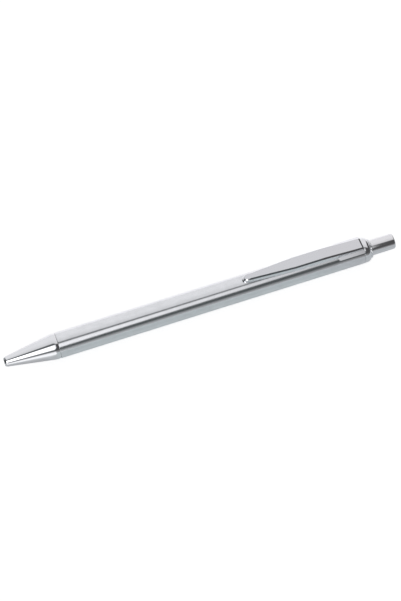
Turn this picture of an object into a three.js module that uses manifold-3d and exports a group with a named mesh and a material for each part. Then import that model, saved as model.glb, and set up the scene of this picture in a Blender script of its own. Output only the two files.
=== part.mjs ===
// A slim push-button ballpoint pen, in millimetres.
// It lies on its side along X, with the writing tip towards -X, the button towards +X and the clip on top.
// Every station along the pen is counted from the front rim of the nose, which is 0.
// Threads are left as plain cylinders with the clearance that their flanks would have.
import * as THREE from "three";
import {
  mergeVertices,
  toCreasedNormals,
} from "three/addons/utils/BufferGeometryUtils.js";
import Module from "manifold-3d";

const wasm = await Module();
wasm.setup();

// Fits and facets
const seam = 0.1; // between faces that butt together
const pressedFit = 0.06; // round what is pressed or glued into a bore
const slidingFit = 0.1; // round what slides or turns in a bore
const stopGap = 0.1; // before two faces that stop each other
const visibleSides = 40; // facets round the turned pieces that show
const hiddenSides = 24; // facets round the pieces inside
const bendSteps = 5; // flats along a rounded edge
const weld = 1e-4; // points closer than this are one
const crease = 0.4; // radians between faces that still shade as one surface

// Barrel
const barrelDiameter = 8.6;
const barrelWall = 0.45;
const barrelLength = 105;

// Nose cone
const coneLength = 16.4;
const coneFrontDiameter = 3.06; // where the line of the cone meets the front
const coneBlend = 1.2; // length of the soft bend into the band
const bandLength = 1.5; // the short cylinder behind the cone
const lipRadius = 0.35;
const noseWall = 0.4; // round the front end of the spring's bore
const noseSpigotLength = 7.8;
const noseSpigotWall = 0.9;
const frontInsertLength = 9.2;

// Rear end
const collarLength = 3.1;
const collarRim = 0.7; // straight part before the rounded shoulder
const collarRimStep = 0.08; // how far the rim lies inside the barrel's surface
const collarLip = 0.12; // flat ring round the button
const collarSpigotLength = 3.5;
const rearInsertLength = 4.4;
const buttonDiameter = 5.25;
const buttonReach = 8.3; // what stands out of the collar at rest
const buttonWall = 0.5;
const buttonEdge = 0.55; // radius of the rounded end

// Clip, folded from sheet
const clipLength = 41.6;
const clipSheet = 0.45;
const clipTouch = 0.1; // over the barrel at the tip and under the wings
const clipDaylight = 0.4; // over the barrel along the middle
const clipRootRise = 0.95; // of the top plate over the barrel
const clipRise = 1.75;
const clipRampLength = 13; // from the root to full height
const clipRootHalfWidth = 2.15;
const clipTipHalfWidth = 1.35;
const clipEndHalfWidth = 0.65;
const clipWideLength = 14; // from the root to where it starts to taper
const clipNoseLength = 3; // rounded stretch at the tip
const clipEndDrop = 0.45; // how much lower the top is at the very end
const clipFold = 0.35; // chamfer that stands for the folded edge
const clipFlare = 0.3; // how much wider the walls are at the bottom
const wingLength = 8.8;
const wingHalfAngle = 44;
const tabWidth = 2.6;
const tabLength = 0.9;
const notchLength = 1.5;

// Click mechanism
const pressTravel = 5.8; // button at rest to button fully down
const latchTravel = 4.6; // refill held out for writing
const sleeveWall = 0.5;
const sleeveStops = 4; // ribs inside the sleeve, with a groove between each two
const grooveAngle = 45;
const rotorRibAngle = 17;
const rotorRibSideGap = 2; // degrees to the side of the groove at rest
const plungerRibAngle = 36;
const rotorRibLength = 4;
const rotorLength = 8;
const rotorSocketDepth = 3;
const rotorPilotRadius = 1.2;
const rotorPilotLength = 3;
const crownTeeth = 8;
const crownHeight = 0.8;
const crownWall = 0.9;
const crownFoot = 0.2; // how deep the teeth are rooted in their body
const plungerRibLength = 4.4;
const plungerHeadLength = 4.5; // from the foot of its teeth to the rear of its ribs
const shoulderSetback = 1; // from the rear of its ribs to the button's rim
const keeperLength = 1;
const keeperWall = 0.9;

// Refill
const tipInset = 1.2; // ball behind the nose's rim while retracted
const ballDiameter = 1.0;
const ballShow = 0.34; // how much of the ball stands out of its socket
const ballFit = 0.05;
const pointDiameter = 2.2;
const pointLipRadius = 0.6;
const pointTaperLength = 3.2;
const pointLength = 12;
const pointShankLength = 4;
const pointShankRadius = 0.8;
const inkWayRadius = 0.25;
const holderLength = 4;
const holderShankLength = 4;
const refillDiameter = 3;
const refillWall = 0.25;
const inkLength = 66;
const capHeadLength = 1.6;
const capShankLength = 3;
const ventRadius = 0.35;
const earPlace = 25.8; // from the ball to the ears that carry the spring
const earRise = 0.6;
const earLength = 1.6;
const earThickness = 0.5;

// Spring round the refill
const springOutside = 4.3;
const springWire = 0.36;
const springTurns = 13;
const curlSteps = 8;
const wireSides = 5;

// Stations and radii that follow from the sizes above
const barrelRadius = barrelDiameter / 2;
const bore = barrelRadius - barrelWall;
const noseRear = coneLength + bandLength;
const barrelFront = noseRear + seam;
const barrelRear = barrelFront + barrelLength;
const collarFront = barrelRear + seam;
const collarRear = collarFront + collarLength;
const buttonRear = collarRear + buttonReach;
const buttonRadius = buttonDiameter / 2;
const buttonBore = buttonRadius + slidingFit;
const rearThread = (buttonBore + bore) / 2;
const rearInsertFront = barrelRear - rearInsertLength;
const collarSpigotFront = collarFront - collarSpigotLength;

const ballRadius = ballDiameter / 2;
const pointRadius = pointDiameter / 2;
const refillRadius = refillDiameter / 2;
const inkRadius = refillRadius - refillWall - pressedFit;
const tipBore = pointRadius + slidingFit;
const springBore = springOutside / 2 + slidingFit;
const coneSlope = (barrelRadius - coneFrontDiameter / 2) / coneLength;
const springSeat = (springBore + noseWall - coneFrontDiameter / 2) / coneSlope;
const earFront = tipInset + earPlace;
const noseSpigotRadius = springBore + noseSpigotWall;
const noseSpigotRear = noseRear + noseSpigotLength;

const sleeveRadius = bore - pressedFit;
const grooveRadius = sleeveRadius - sleeveWall;
const ribRadius = grooveRadius - slidingFit;
const coreRadius = buttonBore - slidingFit;
const sleeveRear = rearInsertFront - seam;
const plungerRibRear = collarSpigotFront - stopGap;
const plungerShoulder = plungerRibRear + shoulderSetback;
const plungerFront = plungerRibRear - plungerHeadLength;
const rotorRear = plungerFront - stopGap - 2 * crownHeight;
const rotorFront = rotorRear - rotorLength;
const sleeveStopFront = rotorRear - latchTravel;
const keeperRear = rotorFront - pressTravel - stopGap;
const sleeveFront = keeperRear - keeperLength;
const refillRear = rotorFront + rotorSocketDepth - seam;

const clipRear = barrelRear;
const clipTip = clipRear - clipLength;
const clipBelow = 3; // how deep the clip's block starts before the barrel's shape is cut from it

// A closed mesh as a solid for cutting and joining.
function solid(geometry) {
  const bare = geometry.clone();
  bare.deleteAttribute("normal");
  bare.deleteAttribute("uv");
  const merged = mergeVertices(bare, weld);
  return new wasm.Manifold(
    new wasm.Mesh({
      numProp: 3,
      vertProperties: merged.attributes.position.array,
      triVerts: new Uint32Array(merged.index.array),
    }),
  );
}

// A finished solid as a named mesh.
function piece(name, body, material) {
  const made = body.getMesh();
  const geometry = new THREE.BufferGeometry();
  geometry.setAttribute(
    "position",
    new THREE.BufferAttribute(made.vertProperties, 3),
  );
  geometry.setIndex(new THREE.BufferAttribute(made.triVerts, 1));
  const mesh = new THREE.Mesh(toCreasedNormals(geometry, crease), material);
  mesh.name = name;
  return mesh;
}

// A solid turned about the pen's axis. The profile's points are [station, radius]: the outside from front to
// rear, then the bore from rear to front. It closes on itself. Flat facets face up, down and sideways.
function turned(profile, sides = hiddenSides) {
  const points = [...profile, profile[0]].map(
    ([station, radius]) => new THREE.Vector2(radius, station),
  );
  const lathe = new THREE.LatheGeometry(points, sides, Math.PI / sides);
  return solid(lathe.rotateZ(-Math.PI / 2));
}

// A plain tube between two stations.
function tube(front, rear, outer, inner, sides = hiddenSides) {
  return turned(
    [
      [front, outer],
      [rear, outer],
      [rear, inner],
      [front, inner],
    ],
    sides,
  );
}

// A flat outline in Y and Z, carried from one station to another.
function bar(shape, front, rear) {
  const geometry = new THREE.ExtrudeGeometry(shape, {
    depth: rear - front,
    bevelEnabled: false,
    curveSegments: 8,
  });
  const turn = new THREE.Matrix4().makeBasis(
    new THREE.Vector3(0, 1, 0),
    new THREE.Vector3(0, 0, 1),
    new THREE.Vector3(1, 0, 0),
  );
  return solid(geometry.applyMatrix4(turn).translate(front, 0, 0));
}

// A block between two radii on top of the pen, of one width.
function block(width, low, high, front, rear) {
  const shape = new THREE.Shape([
    new THREE.Vector2(-width / 2, low),
    new THREE.Vector2(width / 2, low),
    new THREE.Vector2(width / 2, high),
    new THREE.Vector2(-width / 2, high),
  ]);
  return bar(shape, front, rear);
}

// Part of a ring, spread evenly to both sides of an angle. Angles are in degrees from +Y towards +Z.
function sector(inner, outer, middle, spread, front, rear) {
  const low = THREE.MathUtils.degToRad(middle - spread / 2);
  const high = THREE.MathUtils.degToRad(middle + spread / 2);
  const shape = new THREE.Shape();
  shape.absarc(0, 0, outer, low, high, false);
  shape.absarc(0, 0, inner, high, low, true);
  shape.closePath();
  return bar(shape, front, rear);
}

// Sector ribs, evenly spaced round the axis, joined to a body.
function withRibs(body, count, inner, outer, middle, spread, front, rear) {
  let made = body;
  for (let i = 0; i < count; i++)
    made = made.add(
      sector(inner, outer, middle + (i * 360) / count, spread, front, rear),
    );
  return made;
}

// A ring of pointed teeth. Each prism runs right through the axis, so it makes two teeth.
function crown(base, height, outer, inner, firstAngle) {
  const halfPitch = (Math.PI * (outer + inner)) / 2 / crownTeeth;
  const root = base - Math.sign(height) * crownFoot;
  let teeth = null;
  for (let i = 0; i < crownTeeth / 2; i++) {
    const outline = [
      new THREE.Vector2(root, -halfPitch),
      new THREE.Vector2(base, -halfPitch),
      new THREE.Vector2(base + height, 0),
      new THREE.Vector2(base, halfPitch),
      new THREE.Vector2(root, halfPitch),
    ];
    const prism = new THREE.ExtrudeGeometry(
      new THREE.Shape(height > 0 ? outline : outline.reverse()),
      { depth: 2 * outer, bevelEnabled: false },
    );
    prism.translate(0, 0, -outer);
    prism.rotateX(
      THREE.MathUtils.degToRad(firstAngle) + (i * 2 * Math.PI) / crownTeeth,
    );
    teeth = teeth ? teeth.add(solid(prism)) : solid(prism);
  }
  const low = Math.min(root, base + height) - seam;
  const high = Math.max(root, base + height) + seam;
  return teeth.intersect(tube(low, high, outer, inner));
}

// A solid skinned over equal rings of [x, y, z], front first, each anticlockwise seen from behind.
function skinned(rings) {
  const count = rings[0].length;
  const last = (rings.length - 1) * count;
  const index = [];
  for (let i = 0; i < last; i += count)
    for (let j = 0; j < count; j++) {
      const a = i + j;
      const b = i + ((j + 1) % count);
      index.push(a, b, a + count, b, b + count, a + count);
    }
  for (let j = 1; j + 1 < count; j++)
    index.push(0, j + 1, j, last, last + j, last + j + 1);
  const geometry = new THREE.BufferGeometry();
  geometry.setAttribute(
    "position",
    new THREE.Float32BufferAttribute(rings.flat(2), 3),
  );
  geometry.setIndex(index);
  return solid(geometry);
}

// The points of a quadratic curve, its first and last included.
function bend(start, pull, end) {
  return new THREE.QuadraticBezierCurve(
    new THREE.Vector2(...start),
    new THREE.Vector2(...pull),
    new THREE.Vector2(...end),
  )
    .getPoints(bendSteps)
    .map((p) => [p.x, p.y]);
}

// 0 before the first value, 1 after the second, with a soft start and end.
const ease = THREE.MathUtils.smoothstep;

// Materials: satin steel barrel, mirror-bright trim, brass and plastic inside.
function metal(colour, roughness) {
  return new THREE.MeshStandardMaterial({
    color: colour,
    roughness,
    metalness: 1,
  });
}
const satinSteel = metal(0xb9babd, 0.32);
const chrome = metal(0xd4d5d8, 0.08);
const brass = metal(0xc9a45c, 0.3);
const springSteel = metal(0x9a9b9e, 0.25);
const whitePlastic = new THREE.MeshStandardMaterial({
  color: 0xe9e9e4,
  roughness: 0.5,
});
const darkPlastic = new THREE.MeshStandardMaterial({
  color: 0x2b2c30,
  roughness: 0.45,
});
const blueInk = new THREE.MeshStandardMaterial({
  color: 0x101c66,
  roughness: 0.3,
});

// Polished nose cone: a rounded lip, a straight cone that bends softly into a short band, and the spigot that
// screws into the barrel. The small bore guides the point and the wide one houses the spring.
function noseCone() {
  const coneAt = (station) => coneFrontDiameter / 2 + coneSlope * station;
  const lip = bend(
    [0, coneAt(0) - lipRadius],
    [0, coneAt(0)],
    [lipRadius, coneAt(lipRadius)],
  );
  const shoulder = bend(
    [coneLength - coneBlend, coneAt(coneLength - coneBlend)],
    [coneLength, barrelRadius],
    [coneLength + coneBlend, barrelRadius],
  );
  return turned(
    [
      [0, tipBore],
      ...lip,
      ...shoulder,
      [noseRear, barrelRadius],
      [noseRear, noseSpigotRadius],
      [noseSpigotRear, noseSpigotRadius],
      [noseSpigotRear, springBore],
      [springSeat, springBore],
      [springSeat, tipBore],
    ],
    visibleSides,
  );
}

// Threaded brass insert pressed into the front of the barrel.
function frontInsert() {
  return tube(
    barrelFront,
    barrelFront + frontInsertLength,
    bore - pressedFit,
    noseSpigotRadius + pressedFit,
  );
}

// Seamless barrel tube with an open notch at the rear for the clip's tab.
function barrelTube() {
  const notch = block(
    tabWidth + 2 * slidingFit,
    bore / 2,
    barrelDiameter,
    barrelRear - notchLength,
    barrelRear + seam,
  );
  return tube(
    barrelFront,
    barrelRear,
    barrelRadius,
    bore,
    visibleSides,
  ).subtract(notch);
}

// Threaded brass insert at the rear of the barrel, slotted for the clip's tab.
function rearInsert() {
  const inner = rearThread + pressedFit / 2;
  const slot = block(
    tabWidth + 2 * slidingFit,
    bore / 2,
    barrelDiameter,
    barrelRear - notchLength,
    barrelRear + seam,
  );
  return tube(rearInsertFront, barrelRear, bore - pressedFit, inner).subtract(
    slot,
  );
}

// Polished end collar: a short rim, a rounded shoulder down to the button, and a threaded spigot.
function endCollar() {
  const rimRadius = barrelRadius - collarRimStep;
  const mouth = buttonBore + collarLip;
  const shoulder = bend(
    [collarFront + collarRim, rimRadius],
    [collarRear - collarRim, rimRadius],
    [collarRear, mouth],
  );
  return turned(
    [
      [collarSpigotFront, rearThread - pressedFit / 2],
      [collarFront, rearThread - pressedFit / 2],
      [collarFront, rimRadius],
      ...shoulder,
      [collarRear, buttonBore],
      [collarSpigotFront, buttonBore],
    ],
    visibleSides,
  );
}

// Drawn metal cap over the plunger's stem, with a softly rounded end.
function pushButton() {
  const flat = buttonRadius - buttonEdge;
  const edge = bend(
    [buttonRear - buttonEdge, buttonRadius],
    [buttonRear, buttonRadius],
    [buttonRear, flat],
  );
  const rim = plungerShoulder + seam;
  return turned(
    [
      [rim, buttonRadius],
      ...edge,
      [buttonRear, 0],
      [buttonRear - buttonWall, 0],
      [buttonRear - buttonWall, buttonRadius - buttonWall],
      [rim, buttonRadius - buttonWall],
    ],
    visibleSides,
  );
}

// How the clip's height over the axis, and its half width across the top, change with the station.
function clipTop(station) {
  const rise = THREE.MathUtils.lerp(
    clipRise,
    clipRootRise,
    ease(station, clipRear - clipRampLength, clipRear),
  );
  const nearTip = Math.max(0, 1 - (station - clipTip) / clipNoseLength);
  return barrelRadius + rise - clipEndDrop * nearTip ** 3;
}
function clipHalfWidth(station) {
  const taperStart = clipRear - clipWideLength;
  const noseStart = clipTip + clipNoseLength;
  const along = THREE.MathUtils.clamp(
    (taperStart - station) / (taperStart - noseStart),
    0,
    1,
  );
  const straight = THREE.MathUtils.lerp(
    clipRootHalfWidth,
    clipTipHalfWidth,
    along,
  );
  const nearTip = THREE.MathUtils.clamp(
    (noseStart - station) / clipNoseLength,
    0,
    1,
  );
  const round = 1 - Math.sqrt(Math.max(0, 1 - nearTip ** 2));
  return straight - (clipTipHalfWidth - clipEndHalfWidth) * round;
}

// One ring of the clip's outside, or of its inside when inset is the sheet's thickness.
function clipRing(station, inset) {
  const top = clipTop(station) - inset;
  const half = clipHalfWidth(station) - inset;
  const foot = half + clipFlare;
  const fold = Math.min(clipFold, half / 2);
  const bottom = barrelRadius - clipBelow - inset;
  return [
    [station, foot, bottom],
    [station, half, top - fold],
    [station, half - fold, top],
    [station, fold - half, top],
    [station, -half, top - fold],
    [station, -foot, bottom],
  ];
}

// Spring clip folded from sheet: a channel with a closed, rounded tip, two wings that hug the barrel at the
// root, and a tab that drops through the notch into the rear insert.
function clip() {
  const noseSteps = 6;
  const armSteps = 8;
  const stations = [];
  for (let i = 0; i < noseSteps; i++)
    stations.push(clipTip + clipNoseLength * (i / noseSteps) ** 2);
  for (let i = 0; i <= armSteps; i++)
    stations.push(
      THREE.MathUtils.lerp(clipTip + clipNoseLength, clipRear, i / armSteps),
    );
  const outside = skinned(stations.map((s) => clipRing(s, 0)));
  const inner = stations.filter((s) => s > clipTip + clipSheet);
  inner.unshift(clipTip + clipSheet);
  inner.push(clipRear + seam);
  const inside = skinned(inner.map((s) => clipRing(s, clipSheet)));

  const touch = barrelRadius + clipTouch;
  const daylight = barrelRadius + clipDaylight;
  const underside = turned(
    [
      [clipTip - seam, touch],
      [clipTip + clipNoseLength, touch],
      [clipTip + 3 * clipNoseLength, daylight],
      [clipRear - 2 * wingLength, daylight],
      [clipRear - wingLength, touch],
      [clipRear + seam, touch],
      [clipRear + seam, 0],
      [clipTip - seam, 0],
    ],
    visibleSides,
  );
  const topAngle = 90;
  const wings = sector(
    touch,
    touch + clipSheet,
    topAngle,
    2 * wingHalfAngle,
    clipRear - wingLength,
    clipRear,
  );
  const tab = block(
    tabWidth,
    rearThread + pressedFit,
    clipTop(clipRear) - clipSheet / 2,
    clipRear - tabLength,
    clipRear,
  );
  return outside.add(wings).subtract(inside).subtract(underside).add(tab);
}

// Guide sleeve of the click mechanism. The fronts of its ribs are the stops that hold the refill out.
function camSleeve() {
  return withRibs(
    tube(sleeveFront, sleeveRear, sleeveRadius, grooveRadius),
    sleeveStops,
    buttonBore,
    grooveRadius + sleeveWall / 2,
    180 / sleeveStops,
    360 / sleeveStops - grooveAngle,
    sleeveStopFront,
    sleeveRear,
  );
}

// Ring pressed into the front of the sleeve, so that the rotor stays in when the refill is taken out.
function keeperRing() {
  const outer = grooveRadius - pressedFit;
  return tube(sleeveFront, keeperRear, outer, outer - keeperWall);
}

// Rotor: a socket for the refill's rear, ribs that run in the sleeve's grooves, and a crown of teeth.
// At rest each rib lies at one side of its groove, so there is room for the first half of a step.
function camRotor() {
  const groovesHalf = grooveAngle / 2;
  const ribMiddle = -groovesHalf + rotorRibSideGap + rotorRibAngle / 2;
  const body = turned([
    [rotorFront, coreRadius],
    [rotorRear, coreRadius],
    [rotorRear, rotorPilotRadius],
    [rotorRear + rotorPilotLength, rotorPilotRadius],
    [rotorRear + rotorPilotLength, 0],
    [refillRear + seam, 0],
    [refillRear + seam, refillRadius + slidingFit],
    [rotorFront, refillRadius + slidingFit],
  ]);
  return withRibs(
    body,
    sleeveStops,
    coreRadius - crownWall / 2,
    ribRadius,
    ribMiddle,
    rotorRibAngle,
    rotorRear - rotorRibLength,
    rotorRear,
  ).add(crown(rotorRear, crownHeight, coreRadius, coreRadius - crownWall, 0));
}

// Plunger: teeth that push the rotor round, ribs that keep it from turning, and the stem under the button.
function plunger() {
  const stem = buttonRadius - buttonWall - pressedFit;
  const body = turned([
    [plungerFront, coreRadius],
    [plungerShoulder, coreRadius],
    [plungerShoulder, stem],
    [buttonRear - buttonWall - seam, stem],
    [buttonRear - buttonWall - seam, 0],
    [plungerFront + rotorPilotLength, 0],
    [plungerFront + rotorPilotLength, rotorPilotRadius + slidingFit],
    [plungerFront, rotorPilotRadius + slidingFit],
  ]);
  return withRibs(
    body,
    sleeveStops,
    coreRadius - crownWall / 2,
    ribRadius,
    0,
    plungerRibAngle,
    plungerRibRear - plungerRibLength,
    plungerRibRear,
  ).add(
    crown(plungerFront, -crownHeight, coreRadius, coreRadius - crownWall, 0),
  );
}

// The point's cup is a ball-shaped hollow with its mouth in front of the ball's middle.
function writingPoint() {
  const centre = tipInset + ballRadius;
  const mouth = tipInset + ballShow;
  const cup = ballRadius + ballFit;
  const back = Math.sqrt(cup ** 2 - inkWayRadius ** 2);
  const mouthRadius = Math.sqrt(cup ** 2 - (centre - mouth) ** 2);
  const rear = tipInset + pointLength;
  const hollow = [];
  const steps = 5;
  const startAngle = Math.atan2(inkWayRadius, back);
  const endAngle = Math.atan2(mouthRadius, mouth - centre);
  for (let i = 0; i <= steps; i++) {
    const angle = THREE.MathUtils.lerp(startAngle, endAngle, i / steps);
    hollow.push([centre + cup * Math.cos(angle), cup * Math.sin(angle)]);
  }
  return turned([
    [mouth, pointLipRadius],
    [tipInset + pointTaperLength, pointRadius],
    [rear, pointRadius],
    [rear, pointShankRadius],
    [rear + pointShankLength, pointShankRadius],
    [rear + pointShankLength, inkWayRadius],
    ...hollow,
  ]);
}

function writingBall() {
  const rings = hiddenSides / 2;
  const ball = new THREE.SphereGeometry(ballRadius, hiddenSides, rings);
  return solid(ball.translate(tipInset + ballRadius, 0, 0));
}

// Holder between the point and the ink tube, with a chamfered front and a shank pushed into the tube.
function pointHolder() {
  const front = tipInset + pointLength + seam;
  const rear = front + holderLength;
  const chamfer = refillRadius - pointRadius;
  const socket = pointShankRadius + pressedFit;
  return turned([
    [front, pointRadius],
    [front + chamfer, refillRadius],
    [rear, refillRadius],
    [rear, inkRadius],
    [rear + holderShankLength, inkRadius],
    [rear + holderShankLength, socket],
    [front, socket],
  ]);
}

// Ink tube, with two ears pinched out of its wall to carry the spring.
function refillTube() {
  const front = tipInset + pointLength + holderLength + 2 * seam;
  const rear = refillRear - capHeadLength - seam;
  const shape = new THREE.Shape([
    new THREE.Vector2(earFront, 0),
    new THREE.Vector2(earFront + earLength, 0),
    new THREE.Vector2(earFront + earLength, refillRadius),
    new THREE.Vector2(earFront + earLength / 2, refillRadius + earRise),
    new THREE.Vector2(earFront, refillRadius + earRise),
  ]);
  const ear = new THREE.ExtrudeGeometry(shape, {
    depth: earThickness,
    bevelEnabled: false,
  });
  ear.translate(0, 0, -earThickness / 2);
  const upper = solid(ear);
  const lower = solid(ear.clone().rotateX(Math.PI));
  const inside = tube(front, rear, refillRadius - refillWall, 0);
  return tube(front, rear, refillRadius, refillRadius - refillWall)
    .add(upper.subtract(inside))
    .add(lower.subtract(inside));
}

function inkColumn() {
  const front = tipInset + pointLength + holderLength + holderShankLength;
  return tube(front + 3 * seam, front + inkLength, inkRadius, 0);
}

// Vented plug that closes the refill's rear.
function refillCap() {
  return turned([
    [refillRear - capHeadLength - capShankLength, inkRadius],
    [refillRear - capHeadLength, inkRadius],
    [refillRear - capHeadLength, refillRadius],
    [refillRear, refillRadius],
    [refillRear, ventRadius],
    [refillRear - capHeadLength - capShankLength, ventRadius],
  ]);
}

// Return spring: one unbroken helix of round wire from the nose's shoulder to the refill's ears.
function refillSpring() {
  const wire = springWire / 2;
  const middle = springOutside / 2 - wire;
  const front = springSeat + wire + stopGap;
  const rear = earFront - wire - stopGap;
  const steps = springTurns * curlSteps;
  const rings = [];
  for (let i = 0; i <= steps; i++) {
    const station = THREE.MathUtils.lerp(front, rear, i / steps);
    const angle = (i * 2 * Math.PI) / curlSteps;
    const ring = [];
    for (let j = 0; j < wireSides; j++) {
      const around = (j * 2 * Math.PI) / wireSides;
      const radius = middle + wire * Math.cos(around);
      ring.push([
        station - wire * Math.sin(around),
        radius * Math.cos(angle),
        radius * Math.sin(angle),
      ]);
    }
    rings.push(ring);
  }
  const turnGap = (rear - front) / springTurns - springWire;
  console.log("gap between the spring's curls " + turnGap.toFixed(2) + " mm");
  return skinned(rings);
}

// The pen's axis stands over the surface by the barrel's facets, and the middle of its length is the origin.
const pen = new THREE.Group();
pen.position.set(
  -buttonRear / 2,
  0,
  barrelRadius * Math.cos(Math.PI / visibleSides),
);
pen.add(
  piece("nose_cone", noseCone(), chrome),
  piece("front_insert", frontInsert(), brass),
  piece("barrel_tube", barrelTube(), satinSteel),
  piece("rear_insert", rearInsert(), brass),
  piece("end_collar", endCollar(), chrome),
  piece("push_button", pushButton(), chrome),
  piece("clip", clip(), chrome),
  piece("cam_sleeve", camSleeve(), whitePlastic),
  piece("keeper_ring", keeperRing(), brass),
  piece("cam_rotor", camRotor(), darkPlastic),
  piece("plunger", plunger(), whitePlastic),
  piece("refill_tube", refillTube(), brass),
  piece("refill_cap", refillCap(), darkPlastic),
  piece("ink_column", inkColumn(), blueInk),
  piece("point_holder", pointHolder(), brass),
  piece("writing_point", writingPoint(), brass),
  piece("writing_ball", writingBall(), springSteel),
  piece("refill_spring", refillSpring(), springSteel),
);

const root = new THREE.Group();
root.add(pen);
export default root;
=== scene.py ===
# %% [markdown]
# A slim push-button ballpoint pen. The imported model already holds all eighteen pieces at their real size
# and place, so the first step is to load it as a fixed frame. Everything made later is placed from that
# frame.

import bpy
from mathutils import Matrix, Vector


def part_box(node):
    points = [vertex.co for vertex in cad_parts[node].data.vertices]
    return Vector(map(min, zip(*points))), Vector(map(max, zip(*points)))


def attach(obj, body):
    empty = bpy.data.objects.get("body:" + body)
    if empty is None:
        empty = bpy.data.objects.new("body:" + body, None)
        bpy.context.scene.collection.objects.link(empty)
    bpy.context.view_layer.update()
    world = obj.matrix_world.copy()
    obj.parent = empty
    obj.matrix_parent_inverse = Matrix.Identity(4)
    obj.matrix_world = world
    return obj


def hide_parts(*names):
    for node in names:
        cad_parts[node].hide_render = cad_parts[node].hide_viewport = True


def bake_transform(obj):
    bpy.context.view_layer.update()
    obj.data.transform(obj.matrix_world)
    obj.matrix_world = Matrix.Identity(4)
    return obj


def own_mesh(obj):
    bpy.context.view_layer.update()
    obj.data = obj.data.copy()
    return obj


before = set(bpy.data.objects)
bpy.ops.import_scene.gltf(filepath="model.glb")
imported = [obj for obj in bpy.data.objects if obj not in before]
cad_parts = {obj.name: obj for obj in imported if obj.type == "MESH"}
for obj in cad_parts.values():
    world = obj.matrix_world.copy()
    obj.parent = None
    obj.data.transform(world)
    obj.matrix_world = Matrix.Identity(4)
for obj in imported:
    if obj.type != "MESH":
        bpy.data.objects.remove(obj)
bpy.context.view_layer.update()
print("pieces in the frame:", len(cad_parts))

# %% [markdown]
# A pen is easiest to describe along its own axis: how far behind the nose's rim a point lies, how far
# across, and how far up from the axis, in millimetres. The frame gives where that axis is. Only the last
# step of each mesh turns these numbers into metres in the frame.

# %% Stations along the pen
import bpy
import numpy as np

MM = 0.001
tip_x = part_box("nose_cone")[0].x
barrel_low, barrel_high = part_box("barrel_tube")
axis_z = (barrel_low.z + barrel_high.z) / 2
barrel_radius = (barrel_high.z - barrel_low.z) / 2 / MM


def station(x):
    """How far behind the nose's rim a place in the frame is, in millimetres."""
    return (x - tip_x) / MM


barrel_front = station(barrel_low.x)
barrel_rear = station(barrel_high.x)
button_low, button_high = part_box("push_button")
button_rear = station(button_high.x)
print(f"barrel from {barrel_front:.1f} to {barrel_rear:.1f} mm, pen {button_rear:.1f} mm long")

# %% [markdown]
# The camera comes before the looks. It looks down on the pen at about 58 degrees, a little from the nose's
# side, and leans slightly, so that the pen rises to the right. A camera is placed by three directions: back
# towards the photographer, to the picture's right and to its top.

# %% Camera
from mathutils import Matrix, Vector

camera_azimuth = np.radians(-16.2)
camera_elevation = np.radians(57.96)
camera_roll = np.radians(3.5)
camera_distance = 0.570
lens_mm = 104.6
picture_height_mm = 36
aim_along = -0.00055
aim_raised = 0.00016

back = Vector(
    (
        np.sin(camera_azimuth) * np.cos(camera_elevation),
        -np.cos(camera_azimuth) * np.cos(camera_elevation),
        np.sin(camera_elevation),
    )
)
level_right = Vector((np.cos(camera_azimuth), np.sin(camera_azimuth), 0))
level_up = back.cross(level_right)
right = level_right * np.cos(camera_roll) - level_up * np.sin(camera_roll)
up = level_up * np.cos(camera_roll) + level_right * np.sin(camera_roll)

camera = bpy.data.objects.new("camera", bpy.data.cameras.new("camera"))
bpy.context.scene.collection.objects.link(camera)
camera.data.sensor_fit = "VERTICAL"
camera.data.sensor_height = picture_height_mm
camera.data.lens = lens_mm
aim = Vector((aim_along, 0, axis_z)) + up * aim_raised
turn = Matrix((right, up, back)).transposed().to_4x4()
camera.matrix_world = Matrix.Translation(aim + back * camera_distance) @ turn
bpy.context.scene.camera = camera
print("camera stands", [round(value, 3) for value in camera.location])

# %% [markdown]
# Shader maths soon fills a node tree with boxes. A small class that wraps one socket lets it be written as
# arithmetic instead: a sum or product of wires adds a Math node. All other nodes come from one method,
# which sets a node's options first and its sockets after.

# %% Sockets as numbers


class Wire:
    """A socket of a node tree. Arithmetic adds Math nodes, and node() adds any other node."""

    def __init__(self, tree, socket=None):
        self.tree = tree
        self.socket = socket

    def node(self, kind, settings=None, inputs=None, output=0):
        """Any node of the tree: its settings first, then the values or wires of its sockets."""
        made = self.tree.nodes.new(kind)
        for name, value in (settings or {}).items():
            setattr(made, name, value)
        for name, value in (inputs or {}).items():
            if isinstance(value, Wire):
                self.tree.links.new(value.socket, made.inputs[name])
            else:
                made.inputs[name].default_value = value
        return Wire(self.tree, made.outputs[output] if made.outputs else None)

    def math(self, operation, *values):
        return self.node("ShaderNodeMath", {"operation": operation}, dict(enumerate(values)))

    def __add__(self, other):
        return self.math("ADD", self, other)

    def __sub__(self, other):
        return self.math("SUBTRACT", self, other)

    def __rsub__(self, other):
        return self.math("SUBTRACT", other, self)

    def __mul__(self, other):
        return self.math("MULTIPLY", self, other)

    __radd__ = __add__
    __rmul__ = __mul__

    def rises(self, start, end):
        """0 below start and 1 above end, with a soft step between them. A start above end makes it fall."""
        inputs = {"Value": self, "From Min": start, "From Max": end}
        return self.node("ShaderNodeMapRange", {"interpolation_type": "SMOOTHSTEP"}, inputs)

    def between(self, start, full, last, end):
        """1 from full to last and 0 outside start and end, with soft steps between."""
        return self.rises(start, full) * self.rises(end, last)

    def mixed(self, low, high):
        """The colour that lies this far from low to high."""
        settings = {"data_type": "RGBA"}
        return self.node("ShaderNodeMix", settings, {"Factor": self, 6: low, 7: high}, output=2)

    def to(self, socket):
        self.tree.links.new(self.socket, socket)


print("shader arithmetic is ready")

# %% [markdown]
# Bare metal has hardly any colour of its own. What the eye reads as steel is the room mirrored in it, so
# the room is the most important material here, and the photograph tells what that room was. It is painted
# on the world by direction, so it needs no lamp objects. Two numbers name a direction. Sideways is how far
# it points along the pen, from -1 beyond the nose to 1 beyond the button. Height is its angle over the near
# horizon in degrees, seen along the pen: 90 is overhead and 180 is the far horizon.

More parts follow.
